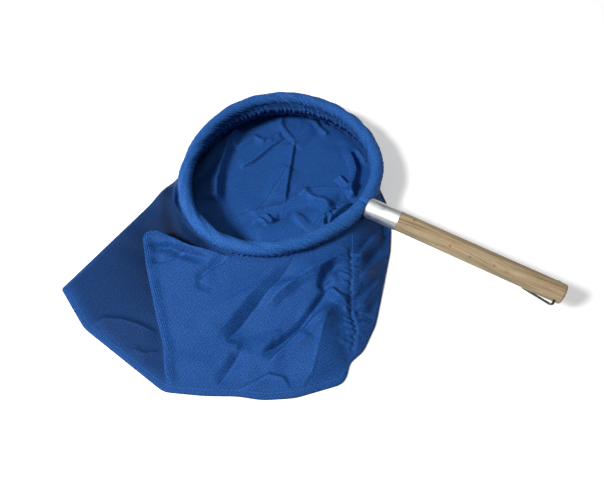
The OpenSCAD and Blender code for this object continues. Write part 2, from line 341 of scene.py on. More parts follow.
MATERIALS = {
    "bag_cloth": cloth_material("bag_cloth", 1.1),
    "casing_cloth": cloth_material("casing_cloth", 1.8),
    "thread": thread_material(),
    "wood": wood_material(),
    "alloy": alloy_material(),
    "foam": foam_material(),
    "hoop_steel": steel_material("hoop_steel", (0.20, 0.20, 0.20), (0.42, 0.42, 0.42), 0.3),
    "loop_steel": steel_material("loop_steel", (0.035, 0.035, 0.036), (0.16, 0.155, 0.15), 0.3),
}


# ---------------------------------------------------------------- mesh helpers
def make_piece(name, points, faces, slot, uv=None, painted_shading=None):
    """A smooth mesh piece of the net, from points in metres, with its material and slot. Cloth also
    has its place on the flat cloth and its painted shading, a multiplier of its colour that paints light
    and shade on it."""
    mesh = bpy.data.meshes.new(name)
    mesh.from_pydata([tuple(p) for p in points], [], [tuple(f) for f in faces])
    mesh.update()
    if uv is not None:
        layer = mesh.attributes.new("cloth_uv", "FLOAT_VECTOR", "POINT")
        layer.data.foreach_set("vector", np.asarray(uv, np.float32).ravel())
        layer = mesh.attributes.new("painted_shading", "FLOAT", "POINT")
        layer.data.foreach_set("value", np.asarray(painted_shading, np.float32).ravel())
    mesh.materials.append(MATERIALS[slot])
    mesh.polygons.foreach_set("use_smooth", np.ones(len(mesh.polygons), bool))
    piece = bpy.data.objects.new(name, mesh)
    bpy.context.scene.collection.objects.link(piece)
    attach(piece, "net")
    return piece


def grid_faces(rows, columns, wrap_rows=False, wrap_columns=False):
    """Quads of a grid of points stored row by row."""
    faces = []
    for i in range(rows if wrap_rows else rows - 1):
        for j in range(columns if wrap_columns else columns - 1):
            a, b = i * columns, (i + 1) % rows * columns
            k = (j + 1) % columns
            faces.append((a + j, b + j, b + k, a + k))
    return faces


def wave_sum(x, seed, count, low, high):
    """A smooth irregular curve from -1 to 1 or so: waves of random pitch and phase."""
    draw = np.random.default_rng(seed)
    total = np.zeros_like(x, dtype=float)
    for _ in range(count):
        total += np.sin(x * draw.uniform(low, high) + draw.uniform(0, 2 * math.pi))
    return total / math.sqrt(count)


def smoothstep(low, high, x):
    """0 below low, 1 above high, smooth between."""
    t = np.clip((x - low) / (high - low), 0, 1)
    return t * t * (3 - 2 * t)


# ---------------------------------------------------------------- the bent hoop
def ring_radius(angle):
    """Radius of the hand-bent hoop's wire, which is a little out of round."""
    a = np.asarray(angle, float)
    return (RING - 4.4 * np.cos(2 * a) + 3.3 * np.sin(2 * a)
            + 1.4 * np.cos(3 * a) + 2.9 * np.sin(3 * a))


FRONT = math.radians(-57)


def seam_section(angle):
    """Where round the tube its seam hangs: inwards at the back, outwards at the front."""
    return np.radians(268 + 34 * np.cos(np.asarray(angle) - FRONT))


def seam_depth(angle):
    """Distance from the wire's centre to the casing's stitched edge."""
    return 16.0 - 4.0 * np.cos(np.asarray(angle) - FRONT)


def mouth_point(angle):
    """Where the bag's mouth is sewn, just inside the casing's edge, as radius and height."""
    section, depth = seam_section(angle), seam_depth(angle) - 3.5
    return ring_radius(angle) + depth * np.cos(section), HOOP_Z + depth * np.sin(section)


# ---------------------------------------------------------------- plan of the bag
BACK_RADIUS = 131
BACK_BULGE = 14


def back_outline(degrees):
    """A point of the bag's outline behind the hoop, where the slack bag bulges out."""
    angle = math.radians(degrees)
    radius = BACK_RADIUS + BACK_BULGE * math.sin(math.pi * (degrees - 46) / 144) ** 2
    return radius * math.cos(angle), radius * math.sin(angle)


BAG_OUTLINE = ([(205, -122), (192, -74), (177, -20), (153, 35)]
               + [back_outline(a) for a in range(46, 190, 12)]
               + [(-134, -52), (-162, -271), (-102, -299), (29, -316), (72, -297), (105, -279),
                  (132, -269), (163, -249), (203, -208), (204, -196), (199, -181), (207, -160)])
LEFT_CORNER = (-161, -270)
OUTLINE_SAMPLES = 720
OUTLINE_SOFTENINGS = 9
MESH_STEP = 2.5
FINE_STEP = 1.6
MOUTH_STEP = 2.6
PATTERN_MOUTH = 122


def polar(points):
    """Angles and radii of plan points."""
    return np.arctan2(points[:, 1], points[:, 0]), np.linalg.norm(points, axis=1)


def distances(line):
    """Distance of each point of a line from its start, along it."""
    return np.concatenate([[0], np.cumsum(np.linalg.norm(np.diff(line, axis=0), axis=1))])


def walk(line, run, s):
    """Plan points at those distances along a line whose own points are at the distances run."""
    return np.stack([np.interp(s, run, line[:, k]) for k in (0, 1)], 1)


def outline_reach():
    """Angles and radii of the bag's outline, its bends softened except at the left corner."""
    corners = np.array(BAG_OUTLINE, float)
    closed = np.vstack([corners, corners[:1]])
    run = distances(closed)
    s = np.linspace(0, run[-1], OUTLINE_SAMPLES, endpoint=False)
    line = walk(closed, run, s)
    soft = line.copy()
    for _ in range(OUTLINE_SOFTENINGS):
        soft = (np.roll(soft, 1, 0) + soft + np.roll(soft, -1, 0)) / 3
    keep = np.exp(-(np.linalg.norm(line - np.array(LEFT_CORNER), axis=1) / 14) ** 2)[:, None]
    line = soft * (1 - keep) + line * keep
    angle = np.arctan2(line[:, 1], line[:, 0]) % (2 * math.pi)
    order = np.argsort(angle)
    return angle[order], np.linalg.norm(line, axis=1)[order], line


REACH_ANGLES, REACH_RADII, OUTLINE = outline_reach()


def reach(angle):
    """Distance from the hoop's centre to the bag's outline."""
    return np.interp(np.asarray(angle) % (2 * math.pi), REACH_ANGLES, REACH_RADII, period=2 * math.pi)


def along(points, xy):
    """Signed distance of plan points from a polyline, left of its direction positive, and the
    share of the way along it."""
    line = np.array(points, float)
    lengths = np.linalg.norm(np.diff(line, axis=0), axis=1)
    starts = np.concatenate([[0], np.cumsum(lengths)])
    best = np.full(len(xy), 1e9)
    signed, share = np.zeros(len(xy)), np.zeros(len(xy))
    for k in range(len(lengths)):
        d = (line[k + 1] - line[k]) / lengths[k]
        rel = xy - line[k]
        t = np.clip(rel @ d, 0, lengths[k])
        distance = np.linalg.norm(rel - t[:, None] * d, axis=1)
        nearer = distance < best
        side = np.where(d[0] * rel[:, 1] - d[1] * rel[:, 0] >= 0, 1, -1)
        best = np.where(nearer, distance, best)
        signed = np.where(nearer, side * distance, signed)
        share = np.where(nearer, (starts[k] + t) / starts[-1], share)
    return signed, share


CREST = 0.05
FOLD_GAIN = 1.7
LOWER_FOLD_GAIN = 1.2


def fold(xy, points, height, left, right, end=0.25):
    """A crease: a ridge, or a valley if its height is negative, along a plan polyline. Its two
    flanks have their own widths, left and right as seen by someone walking along it. It dies away
    over its last share at each end."""
    signed, share = along(points, xy)
    flank = np.where(signed > 0, left, right)
    fade = smoothstep(-0.02, end, share) * smoothstep(-0.02, end, 1 - share)
    start, stop = height if isinstance(height, tuple) else (height, height)
    roof = np.maximum(0, 1 + CREST - np.sqrt((signed / flank) ** 2 + CREST ** 2))
    return (start + (stop - start) * share) * roof * fade


def painted_crease_shading(xy, folds):
    """Painted shade and highlight along the creases: a dark line of painted shade on each crease's steep
    side, and a paler line of painted highlight on its wider flank.
    """
    tone = np.ones(len(xy))
    for points, _, left, right in folds:
        signed, share = along(points, xy)
        fade = smoothstep(0, 0.15, share) * smoothstep(0, 0.15, 1 - share)
        pale = 1.6 if left > right else -1.6
        tone = tone - 0.34 * np.exp(-((signed + 0.4 * pale) / 1.2) ** 2) * fade
        tone = tone + 0.24 * np.exp(-((signed - pale) / 1.3) ** 2) * fade
    return tone


# The front of the upper ply lies over the left flap: this edge runs from the hem up to a rolled
# corner, then back to the rim
OVERLAP = [(31, -330), (26, -304), (14, -290), (-1, -271), (-24, -250), (-50, -224), (-76, -199),
           (-95, -178), (-103, -168), (-102, -159), (-93, -153), (-69, -152), (-43, -152),
           (-19, -148), (5, -143), (24, -128)]

# The hollow between the rim and the rolled corner, along which painted shade is laid
RIM_HOLLOW = [(-126, -92), (-108, -120), (-84, -140), (-52, -148), (-24, -145)]

# Creases of the upper ply: polyline, height, left flank, right flank
UPPER_FOLDS = [
    ([(-122, -74), (-98, -108), (-70, -127), (-44, -137), (-16, -141)], (8, 12), 9, 3.6),
    ([(-93, -180), (-88, -171), (-71, -162), (-52, -160), (-33, -158), (-9, -154)], -4.5, 4, 12),
    ([(-44, -156), (-53, -172), (-62, -182), (-76, -192)], -3, 3, 10),
    ([(12, -145), (0, -158), (-5, -170), (-11, -187)], -3, 3, 9),
    ([(-11, -187), (0, -189), (16, -186)], -2, 4, 5),
    ([(79, -90), (79, -113), (75, -140), (69, -172), (63, -208), (57, -238)], (-5, -7), 34, 12),
    ([(56, -236), (69, -233), (82, -231)], 2, 9, 4),
    ([(81, -231), (81, -247), (79, -282)], -4, 22, 9),
    ([(131, -55), (117, -92), (98, -124), (85, -155), (79, -181)], 5, 9, 30),
    ([(128, -73), (123, -97), (127, -115), (136, -104)], -6, 8, 8),
    ([(136, -102), (133, -132), (131, -157), (125, -182), (115, -206), (102, -229)], -5, 14, 6),
    ([(150, -126), (136, -164), (125, -197), (115, -242)], 3.5, 20, 4),
    ([(150, -128), (152, -155), (158, -178), (164, -200), (168, -215), (164, -242)], 7, 30, 34),
    ([(179, -27), (169, -58), (165, -88)], 5, 10, 6),
    ([(157, -1), (152, -30), (147, -68)], 5, 9, 6),
    ([(189, -55), (183, -92), (179, -124)], 5, 11, 7),
    ([(202, -119), (188, -118), (174, -120)], -4, 6, 6),
    ([(134, -113), (152, -118), (166, -116)], 5, 5, 8),
    ([(97, -278), (112, -260), (125, -242), (142, -237), (158, -246)], 4, 4, 16),
    ([(-98, -295), (-88, -277), (-68, -268), (-46, -263), (-14, -261)], 6.5, 5, 26),
    ([(-131, -64), (-137, -130), (-147, -190), (-157, -250)], (14, 2), 55, 9),
    ([(-35, -291), (-17, -289), (-3, -278)], 3.5, 5, 9),
]

# The foot of the wall at the left, as seen through the mouth: beyond it the cloth is drawn up, and painted
# darker as the rim's shadow
INNER_WALL = [(-108, 62), (-102, 26), (-92, -8), (-80, -37), (-62, -66)]

# Creases of the lower ply, as seen through the mouth
LOWER_FOLDS = [
    ([(-24, 80), (-9, 45), (4, 13), (17, -18)], 4.0, 3.0, 30),
    ([(-25, 74), (-23, 94), (-22, 116), (-25, 132)], 6, 4, 18),
    ([(-27, 84), (-44, 92), (-57, 99), (-65, 112)], 3.5, 6, 6),
    ([(-42, 82), (-49, 59), (-54, 35), (-59, 17), (-68, 2)], 3.6, 3.0, 22),
    ([(-58, 62), (-58, 74), (-51, 86)], 3, 4, 6),
    ([(-96, 29), (-89, 41), (-82, 62), (-61, 60)], 4, 8, 10),
    ([(-8, 37), (-7, 3), (-6, -30), (-11, -60)], 3, 20, 16),
    ([(52, 99), (67, 87), (78, 74), (84, 54), (89, 38)], 11, 10, 6),
    ([(60, 110), (82, 100), (88, 112)], 6, 7, 7),
    ([(60, 56), (82, 45), (96, 34)], 8, 7, 7),
    ([(-26, 134), (-4, 122), (12, 114)], 4, 6, 7),
    (INNER_WALL, 12, 9, 46),
    ([(19, -23), (26, -44), (25, -66)], -6, 6, 6),
    ([(4, -48), (24, -62)], 5, 6, 6),
    ([(40, -36), (62, -48), (80, -53)], 8, 10, 6),
    ([(77, -52), (77, -29), (84, -12)], 8, 6, 8),
    ([(91, -42), (89, -19), (92, 3), (100, 24)], 8, 8, 7),
    ([(26, 13), (69, 2), (86, -14)], 6, 10, 14),
    ([(-4, -72), (2, -61), (13, -65), (22, -74)], 5, 5, 5),
]
# Front right of this line the lower ply is drawn up towards the rim
DRAPE = [(-36, -82), (-20, -60), (-4, -42), (17, -20), (20, -6), (32, 16), (46, 29), (70, 41),
         (94, 38), (120, 30)]
SEAM_LINE = [(124, -36), (142, -68), (157, -99), (170, -122), (187, -142), (196, -168)]
PUCKERS = 19
FLOOR = 0.8
# Heights of the lower ply over this one are eased towards a ceiling this much further up
SOFT_CEILING = 13
CEILING_ROOM = 12
# How far the overlap's edge is rolled over its flap
ROLL = 3.8


def seam_puckers():
    """Short ridges that run out of the side seam on both sides, drawn up by its thread."""
    draw = np.random.default_rng(11)
    line = np.array(SEAM_LINE, float)
    ridges = []
    for k in range(PUCKERS):
        t = (k + 0.5) / PUCKERS * (len(line) - 1)
        i = int(t)
        step = line[i + 1] - line[i]
        p = line[i] + (t - i) * step
        d = step / np.linalg.norm(step)
        across = np.array([-d[1], d[0]])
        for side in (-1, 1):
            tip = p + side * across * draw.uniform(8, 20) + d * draw.uniform(-12, 6)
            ridges.append(([tuple(p - side * across), tuple(tip)], draw.uniform(1.8, 3.4), 3.0, 3.0))
    return ridges


def crumple(xy, seed, cell, stretch=1.0, lean=0.0):
    """Crushed-cloth facets from -1 to 1: random heights on a loose lattice, joined by flat
    triangles, so that they meet in sharp creases. The facets may be stretched along a direction."""
    draw = np.random.default_rng(seed)
    c, s = math.cos(lean), math.sin(lean)
    turned = np.column_stack([xy @ (c, s) / stretch, xy @ (-s, c)])
    grid = lattice((-380, -380), (380, 380), cell)
    grid = grid + draw.uniform(-0.36, 0.36, grid.shape) * cell
    heights = draw.uniform(-1, 1, len(grid))
    corners, triangles = delaunay_2d_cdt([Vector(p) for p in grid], [], [], 0, 1e-4, False)[0:3:2]
    value = np.zeros(len(xy))
    corners = np.array([tuple(v) for v in corners])
    for face in triangles:
        a, b, c = corners[list(face)]
        low, high = np.minimum(np.minimum(a, b), c), np.maximum(np.maximum(a, b), c)
        near = np.flatnonzero(np.all((turned >= low) & (turned <= high), 1))
        if not len(near):
            continue
        edges = np.array([b - a, c - a]).T
        if abs(np.linalg.det(edges)) < 1e-6:
            continue
        share = np.linalg.solve(edges, (turned[near] - a).T)
        inside = (share[0] >= 0) & (share[1] >= 0) & (share[0] + share[1] <= 1)
        hit, share = near[inside], share[:, inside]
        ha, hb, hc = heights[list(face)]
        value[hit] = ha + (hb - ha) * share[0] + (hc - ha) * share[1]
    return value


def hem_height(angle):
    """Thickness of the bag's folded edge on the floor."""
    a = np.degrees(np.asarray(angle)) % 360
    return 3.6 - 1.6 * np.exp(-((a - 239) / 7) ** 2)


PROFILE_STEPS = 96
ANGLE_STEPS = 720


def upper_profiles():
    """For every angle, the upper ply from the seam to the hem in equal steps of its length: radii,
    heights with the front's slack, heights as the low flap, and the lengths."""
    angles = np.arange(ANGLE_STEPS) / ANGLE_STEPS * 2 * math.pi
    radii, high, low, lengths = [], [], [], []
    for a in angles:
        seam_r, seam_z = mouth_point(a)
        edge, hem = float(reach(a)), float(hem_height(a))
        foot_r = float(ring_radius(a)) + 7
        foot_z = HOOP_Z - TUBE - 5
        t = np.linspace(0, 1, 240)
        if edge > foot_r + 18:
            neck = t < 0.12
            n = t[neck] / 0.12
            v = (t[~neck] - 0.12) / 0.88
            r = np.concatenate([seam_r + (foot_r - seam_r) * n ** 1.6, foot_r + (edge - foot_r) * v])
            z_neck = seam_z + (foot_z - seam_z) * smoothstep(0, 1, n)
            slack = foot_z * (1 - v) ** 1.2
            deg = math.degrees(a) % 360
            pocket = float(smoothstep(207, 226, deg)) * (1 - float(smoothstep(290, 310, deg)))
            plane = foot_z * (1 - v) ** 1.1
            flap = plane + pocket * (foot_z * np.exp(-(edge - foot_r) * v / 13) * (1 - v) - plane)
            zs = [np.concatenate([z_neck, s]) for s in (slack, flap)]
        else:
            r = seam_r + (edge - seam_r) * t
            zs = [seam_z * (1 - t) ** 2.2] * 2
        lift = hem * np.sqrt(np.clip(1 - (1 - np.clip((edge - r) / 3, 0, 1)) ** 2, 0, 1))
        zs = [np.maximum(z, 0) + (hem + lift) / 2 * np.exp(-np.maximum(z, 0) / 12) for z in zs]
        length = np.concatenate([[0], np.cumsum(np.hypot(np.diff(r), np.diff(zs[0])))])
        even = np.linspace(0, length[-1], PROFILE_STEPS)
        radii.append(np.interp(even, length, r))
        high.append(np.interp(even, length, zs[0]))
        low.append(np.interp(even, length, zs[1]))
        lengths.append(length[-1])
    return np.array(radii), np.array(high), np.array(low), np.array(lengths)


UPPER_R, UPPER_HIGH, UPPER_LOW, UPPER_LENGTH = upper_profiles()


def sample(table, angle, share):
    """A table over angles and shares read between its points."""
    i = np.asarray(angle) % (2 * math.pi) / (2 * math.pi) * ANGLE_STEPS
    j = np.clip(share, 0, 1) * (PROFILE_STEPS - 1)
    i0, j0 = i.astype(int) % ANGLE_STEPS, np.minimum(j.astype(int), PROFILE_STEPS - 2)
    fi, fj = i - i.astype(int), j - j0
    i1 = (i0 + 1) % ANGLE_STEPS
    return ((table[i0, j0] * (1 - fj) + table[i0, j0 + 1] * fj) * (1 - fi)
            + (table[i1, j0] * (1 - fj) + table[i1, j0 + 1] * fj) * fi)


def pattern_reach(angle):
    """Radius of the hem in the upper ply's pattern, where the wall is rolled out flat."""
    turns = np.append(UPPER_LENGTH, UPPER_LENGTH[0])
    return PATTERN_MOUTH + np.interp(np.asarray(angle) % (2 * math.pi),
                                     np.linspace(0, 2 * math.pi, ANGLE_STEPS + 1), turns)


def plan_of(pattern):
    """Where points of the upper ply's pattern lie: angle, share of the way to the hem, radius, plan."""
    angle, out = polar(pattern)
    share = (out - PATTERN_MOUTH) / (pattern_reach(angle) - PATTERN_MOUTH)
    r = sample(UPPER_R, angle, share)
    return angle, share, r, ring_points(angle, r)


def upper_points(pattern):
    """The upper ply's points in millimetres and its painted shading, from their places in its pattern."""
    angle, share, r, plan = plan_of(pattern)
    xy = plan
    side, _ = along(OVERLAP, xy)
    deg = np.degrees(angle) % 360
    folded = (deg > 200) & (deg < 330)
    over = np.where(folded, smoothstep(-2.2, 2.2, -side), 1)
    z = sample(UPPER_HIGH, angle, share) * over + sample(UPPER_LOW, angle, share) * (1 - over)
    clear = smoothstep(RING + 4, RING + 26, r) * smoothstep(1, 0.88, share)
    on_floor = smoothstep(0, 10, z)
    for points, height, left, right in UPPER_FOLDS:
        z = z + FOLD_GAIN * fold(xy, points, height, left, right) * clear * on_floor
    for points, height, left, right in seam_puckers():
        z = z + fold(xy, points, height, left, right) * clear * on_floor
    lip = np.exp(-((side + 4) / 5) ** 2) * folded
    z = z + 3.0 * lip * clear
    east = smoothstep(60, 150, xy[:, 0])
    flap = folded * (1 - over)
    z = z + crumple(xy, 5, 38, 2.4, 1.0) * (4.5 + 5.0 * east - 1.5 * flap) * clear * on_floor
    z = z + crumple(xy, 6, 16) * (0.9 + 1.6 * east) * clear * on_floor
    seam, along_seam = along(SEAM_LINE, xy)
    jerk = wave_sum(along_seam, 21, 6, 40, 150)
    z = z - (2.4 + 1.2 * jerk) * np.exp(-((seam + 1.8 * jerk) / 2.4) ** 2) * clear
    ripple = wave_sum(xy[:, 0] * 0.7 + xy[:, 1], 3, 6, 0.05, 0.16)
    ripple = ripple * wave_sum(xy[:, 0] - xy[:, 1], 4, 5, 0.03, 0.1)
    z = z + 0.5 * ripple * clear
    wall = (share > 0.02) & (deg > 20) & (deg < 195)
    step = 0.2
    gradient = np.stack([along(OVERLAP, xy + d)[0] - side for d in ((step, 0), (0, step))], 1) / step
    roll = -(side / 3) * np.exp(0.5 - 0.5 * (side / 3) ** 2) * folded * clear * smoothstep(3, 8, z)
    xy = xy + ROLL * roll[:, None] * gradient
    tuck = wave_sum(angle, 8, 6, 30, 95) * np.sin(np.clip(share, 0, 1) * math.pi) * wall
    xy = xy * (1 + 1.5 * tuck / np.maximum(r, 1))[:, None]
    under = (np.abs(xy[:, 1]) < FERRULE_R + 3) & (xy[:, 0] > NOSE_X - 3) & (share > 0.02)
    z = np.where(under, np.minimum(z, HOOP_Z - FERRULE_R - 1.8), z)
    # Painted shade: the flap under the overlap is painted darker, most beside the overlap's edge, and
    # darker still along the rim's hollow; the cloth right of the side seam is painted darker too.
    shaded = 0.50 + 0.22 * np.exp(-(side / 40) ** 2) * smoothstep(-270, -190, plan[:, 1])
    hollow, _ = along(RIM_HOLLOW, plan)
    shaded = shaded + 0.22 * np.exp(-(hollow / 9) ** 2)
    right_side = smoothstep(-4, 22, seam) * smoothstep(110, 140, xy[:, 0])
    painted_shading = 1.04 - shaded * flap * clear - 0.38 * right_side
    # Painted shade and highlight along the creases.
    painted_shading = painted_shading * painted_crease_shading(plan, UPPER_FOLDS)
    moved_angle, moved_r = polar(xy)
    apart = 1.6 * smoothstep(0, 9, reach(moved_angle) - moved_r)
    return np.column_stack([xy, np.maximum(z, FLOOR + apart), painted_shading])


def upper_height(xy):
    """Height of the upper ply, in its form as the low flap, over plan points outside the hoop."""
    angle, r = polar(xy)
    i = (angle % (2 * math.pi) / (2 * math.pi) * ANGLE_STEPS).astype(int) % ANGLE_STEPS
    return np.array([np.interp(b, UPPER_R[k], UPPER_LOW[k]) for b, k in zip(r, i)])


def lower_points(xy):
    """The lower ply's points and painted shading: flat on the floor, with creases, and drawn up at the
    front right."""
    angle, r = polar(xy)
    z = np.full(len(xy), FLOOR + 0.4)
    inside = smoothstep(RING + 40, RING - 6, r)
    for points, height, left, right in LOWER_FOLDS:
        z = z + LOWER_FOLD_GAIN * fold(xy, points, height, left, right, 0.08) * inside
    side, share = along(DRAPE, xy)
    drawn = smoothstep(0, 66, -side) * smoothstep(-0.05, 0.2, share) * smoothstep(1.02, 0.8, share)
    z = z + 26 * drawn * smoothstep(RING + 60, RING - 2, r)
    slack = smoothstep(-4, 12, -side) * smoothstep(-0.05, 0.2, share) * inside
    rim_side = smoothstep(70, 110, r) * inside
    z = z + crumple(xy, 7, 34, 1.5, 1.2) * (2.2 + 7.0 * slack + 3.0 * rim_side) * inside
    z = z + crumple(xy, 9, 17) * (0.5 + 2.2 * slack + 1.2 * rim_side) * inside
    eased = SOFT_CEILING + CEILING_ROOM * np.tanh((z - SOFT_CEILING) / CEILING_ROOM)
    z = np.where(z > SOFT_CEILING, eased, z)
    hem = hem_height(angle)
    gap = np.clip((reach(angle) - r) / 7, 0, 1)
    edge = hem / 2 * (1 - np.sqrt(1 - (1 - gap) ** 2))
    z = np.maximum(z, FLOOR) + edge
    outside = r > RING - 4
    cover = np.full(len(xy), 1e3)
    cover[outside] = upper_height(xy[outside]) - 2.6
    z = np.where(gap < 1, z, np.clip(z, FLOOR, np.maximum(cover, FLOOR)))
    # Painted light and shade: dark and pale lines along the creases, and the drawn-up cloth beside the
    # drape's line painted lighter.
    tone = 1.08 + (painted_crease_shading(xy, LOWER_FOLDS + [(DRAPE, 0, 0, 1)]) - 1) * inside + 0.12 * slack
    # Painted shadow: beyond the wall's foot the cloth is painted darker, as the rim's shadow.
    wall, height_share = along(INNER_WALL, xy)
    ends = smoothstep(0, 0.12, height_share) * smoothstep(0, 0.12, 1 - height_share)
    tone = tone - 0.30 * smoothstep(1, -4, wall) * ends * inside
    return np.column_stack([xy, z, tone])


# ---------------------------------------------------------------- cloth meshes
def lattice(low, high, step):
    """A triangular lattice over a box."""
    xs = np.arange(low[0], high[0], step)
    rows = []
    for k, y in enumerate(np.arange(low[1], high[1], step * math.sqrt(3) / 2)):
        rows.append(np.column_stack([xs + (k % 2) * step / 2, np.full(len(xs), y)]))
    return np.vstack(rows)


def beyond(points, loop):
    """Whether points are outside a loop that goes once round the middle."""
    angle, r = polar(loop)
    order = np.argsort(angle)
    point_angle, point_r = polar(points)
    return point_r > np.interp(point_angle, angle[order], r[order], period=2 * math.pi)


def ply_mesh(edge, hole, keep, fine):
    """Triangles over a plan region: its edge loop, the loop of its hole, and a lattice between
    them, finer where asked."""
    loops = [loop for loop in (edge, hole) if loop is not None]
    low, high = edge.min(0), edge.max(0)
    coarse, dense = lattice(low, high, MESH_STEP), lattice(low, high, FINE_STEP)
    inner = np.vstack([coarse[keep(coarse) & ~fine(coarse)], dense[keep(dense) & fine(dense)]])
    points = np.vstack(loops + [inner])
    edges, start = [], 0
    for loop in loops:
        edges += [(start + i, start + (i + 1) % len(loop)) for i in range(len(loop))]
        start += len(loop)
    result = delaunay_2d_cdt([Vector(p) for p in points], edges, [], 1, 1e-4, True)
    source = [ids[0] for ids in result[3]]
    faces = [[source[i] for i in face] for face in result[2]]
    if hole is not None:
        first, last = len(edge), len(edge) + len(hole)
        faces = [f for f in faces if not all(first <= i < last for i in f)]
    middles = np.array([points[f].mean(0) for f in faces])
    bridging = beyond(middles, edge) & np.array([max(f) < len(edge) for f in faces])
    return points, [f for f, drop in zip(faces, bridging) if not drop]


def hem_angles():
    """Angles of the hem's points, evenly spaced along the outline."""
    closed = np.vstack([OUTLINE, OUTLINE[:1]])
    run = distances(closed)
    s = np.arange(0, run[-1] - MESH_STEP / 2, MESH_STEP)
    line = walk(closed, run, s)
    return np.arctan2(line[:, 1], line[:, 0])


def ring_points(angle, radius):
    """Plan points at those angles and radii."""
    return np.column_stack([radius * np.cos(angle), radius * np.sin(angle)])


def near_folds(pattern):
    """Where the upper ply has tight creases."""
    plan = plan_of(pattern)[3]
    overlap, _ = along(OVERLAP, plan)
    seam, _ = along(SEAM_LINE, plan)
    gaps = [np.abs(along(f[0], plan)[0]) for f in UPPER_FOLDS]
    return (np.abs(overlap) < 9) | (np.abs(seam) < 22) | (np.min(gaps, 0) < 4.5)


def near_creases(xy):
    """Where the lower ply, seen through the mouth, has creases."""
    gaps = [np.abs(along(line, xy)[0]) for line in [f[0] for f in LOWER_FOLDS] + [DRAPE]]
    return (np.min(gaps, 0) < 7) & (np.linalg.norm(xy, axis=1) < RING - 4)


def make_bag():
    """The whole bag as one sheet: the upper ply from the mouth to the hem, then the lower ply."""
    hem = hem_angles()
    mouth = np.linspace(0, 2 * math.pi, int(2 * math.pi * PATTERN_MOUTH / MOUTH_STEP), endpoint=False)
    edge = ring_points(hem, pattern_reach(hem))
    hole = ring_points(mouth, np.full(len(mouth), PATTERN_MOUTH))

    def between(p):
        angle, r = polar(p)
        return (r > PATTERN_MOUTH + 1.6) & (r < pattern_reach(angle) - 1.9)

    def within(p):
        angle, r = polar(p)
        return r < reach(angle) - 1.9

    pattern, upper_faces = ply_mesh(edge, hole, between, near_folds)
    plan, lower_faces = ply_mesh(ring_points(hem, reach(hem)), None, within, near_creases)
    upper, lower = upper_points(pattern), lower_points(plan[len(hem):])
    shift = len(pattern) - len(hem)
    points = np.vstack([upper, lower])
    uv = np.vstack([pattern, plan[len(hem):]]) * MM
    faces = [tuple(f) for f in upper_faces]
    faces += [tuple(i if i < len(hem) else i + shift for i in reversed(f)) for f in lower_faces]
    return make_piece("bag_cloth", [at(*p) for p in points[:, :3]], faces, "bag_cloth",
                      np.column_stack([uv, np.zeros(len(uv))]), points[:, 3])


# ---------------------------------------------------------------- rim
AROUND = 900
SECTION_STEPS = 48


def sweep(name, centres, radius, slot, sides=16):
    """A round tube along points in millimetres, capped at its ends."""
    path = np.array(centres, float)
    tangent = np.gradient(path, axis=0)
    tangent /= np.linalg.norm(tangent, axis=1)[:, None]
    up = np.array([0, 0, 1.0])
    across = np.cross(tangent, up)
    across /= np.linalg.norm(across, axis=1)[:, None]
    above = np.cross(across, tangent)
    turn = np.linspace(0, 2 * math.pi, sides, endpoint=False)
    points = (path[:, None] + radius * (np.cos(turn)[None, :, None] * across[:, None]
                                        + np.sin(turn)[None, :, None] * above[:, None])).reshape(-1, 3)
    faces = grid_faces(len(path), sides, wrap_columns=True)
    last = (len(path) - 1) * sides
    faces += [tuple(range(sides)), tuple(last + i for i in reversed(range(sides)))]
    return make_piece(name, [at(*p) for p in points], faces, slot)


def gathers(angle, off):
    """How strongly the casing is gathered: most at its stitched edge and at the back."""
    back = 0.5 - 0.5 * np.cos(angle - FRONT)
    reach_up = np.exp(-(np.abs(off) / math.radians(95)) ** 2)
    return (0.38 + 0.62 * back) * reach_up


def gather_wave(angle, off):
    """The casing's tight gathers, slanted round the tube: high on a fold, low in a groove."""
    slant = angle + 0.075 * off + 0.03 * off * np.sin(angle * 3)
    tight = wave_sum(slant, 31, 7, 55, 135)
    crease = 1 - 2 * np.abs(tight - np.round(tight))
    return 1.8 * tight - 0.9 * crease


def casing_points(angle, turn, inset=0.0):
    """The casing's surface: a teardrop section round the padded wire, gathered into its seam."""
    off = (turn - seam_section(angle) + math.pi) % (2 * math.pi) - math.pi
    depth = seam_depth(angle)
    tangent = np.arccos(TUBE / depth)
    t = np.clip(np.abs(off) / tangent, 0, 1)
    r = TUBE / np.cos(np.maximum(0, tangent - np.abs(off))) - 1.5 * 4 * t * (1 - t) * (t < 1)
    broad = wave_sum(angle + 0.16 * off, 32, 5, 9, 26)
    r = r + gather_wave(angle, off) * gathers(angle, off) + 0.6 * broad
    groove = (angle + math.pi) % (2 * math.pi) - math.pi
    topside = smoothstep(-0.2, 0.6, np.sin(turn) - 0.6 * np.cos(turn))
    r = r - 2.6 * np.exp(-(groove / math.radians(0.9)) ** 2) * topside
    r = np.maximum(r, TUBE - 2.3) - inset
    out = ring_radius(angle) + r * np.cos(turn)
    x, y, z = out * np.cos(angle), out * np.sin(angle), HOOP_Z + r * np.sin(turn)
    from_axis = np.hypot(y, z - HOOP_Z)
    limit = NOSE_X - 0.5 + 30 * smoothstep(FERRULE_R - 1, FERRULE_R + 8, from_axis)
    return np.stack([x - np.maximum(0, x - limit), y, z], -1)


